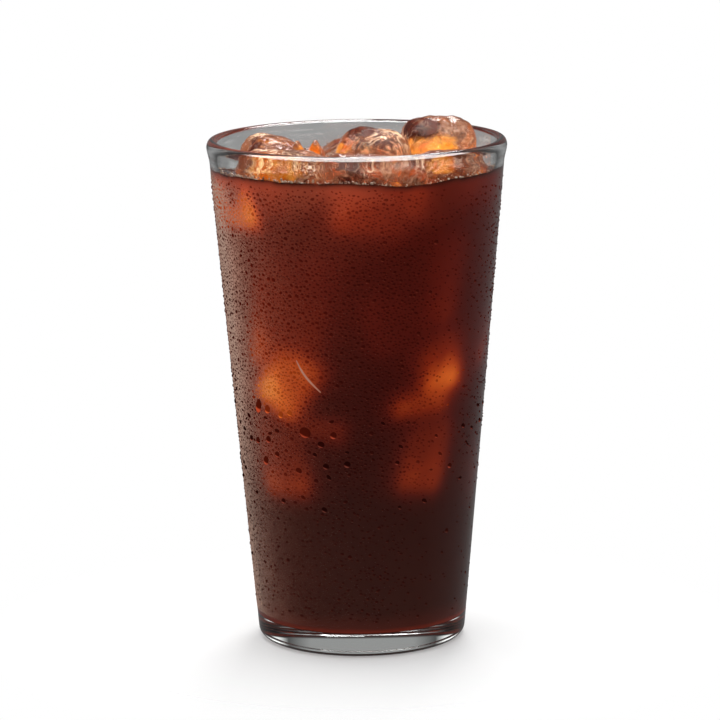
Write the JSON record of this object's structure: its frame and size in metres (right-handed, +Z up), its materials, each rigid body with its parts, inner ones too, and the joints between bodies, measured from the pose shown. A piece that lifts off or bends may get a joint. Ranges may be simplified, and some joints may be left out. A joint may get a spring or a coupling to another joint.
{
  "type": "iced americano",
  "caption": "Iced black coffee with ice cubes in a clear conical tumbler with a rounded rim and a thick foot.",
  "frame": {"origin": "on the table, at the middle of the glass's foot", "axes": "+Z up along the glass's axis; -Y is the side that faces the viewer in the picture, +X to the viewer's right"},
  "size_m": [0.0878, 0.0878, 0.1537],
  "materials": {
    "glass": "clear soda-lime glass, smooth, misted with cold droplets outside",
    "coffee": null,
    "ice": null
  },
  "bodies": {
    "root": {"glass": "glass", "coffee": "coffee", "ice_left": "ice", "ice_front_left": "ice", "ice_front": "ice", "ice_front_right": "ice", "ice_centre": "ice", "ice_right": "ice", "ice_back": "ice", "ice_shard": "ice"}
  },
  "joints": []
}
